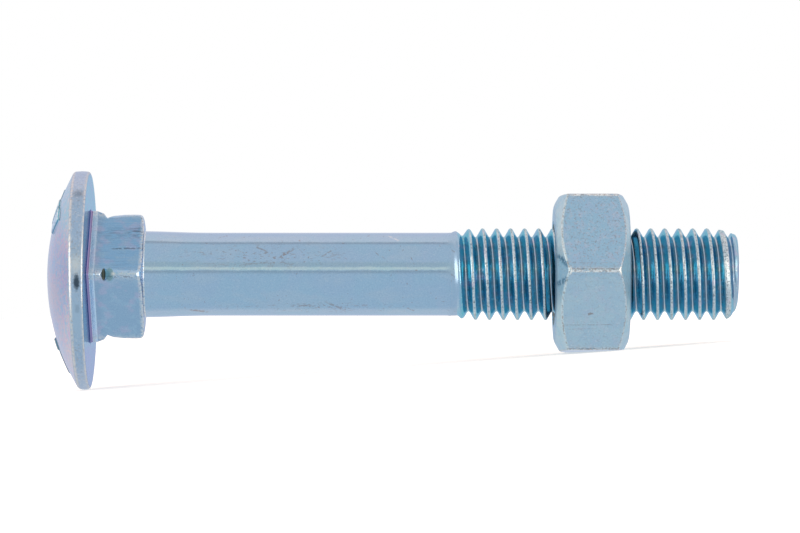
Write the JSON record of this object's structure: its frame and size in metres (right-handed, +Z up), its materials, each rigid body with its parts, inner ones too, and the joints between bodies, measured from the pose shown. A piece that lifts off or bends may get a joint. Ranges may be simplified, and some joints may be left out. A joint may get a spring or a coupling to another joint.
{
  "type": "carriage bolt with hexagon nut",
  "caption": "Mushroom head bolt with a square neck and a rolled thread, and a hexagon nut run part way along the thread.",
  "frame": {"origin": "where the shank axis meets the bearing face under the head", "axes": "+X along the shank towards the tip, +Z up, with the nut's flats level to within its small roll"},
  "size_m": [0.0738, 0.0234, 0.0234],
  "materials": {
    "bolt_zinc": "bright zinc plate with a blue and faintly violet passivation",
    "nut_zinc": "bright zinc plate with a pale blue passivation"
  },
  "bodies": {
    "bolt": {"bolt": "bolt_zinc"},
    "nut": {"hex_nut": "nut_zinc"}
  },
  "joints": [
    {"name": "nut_travel", "type": "slide", "parent": "bolt", "child": "nut", "axis": [1, 0, 0], "range_m": [-0.009, 0.0195]}
  ]
}
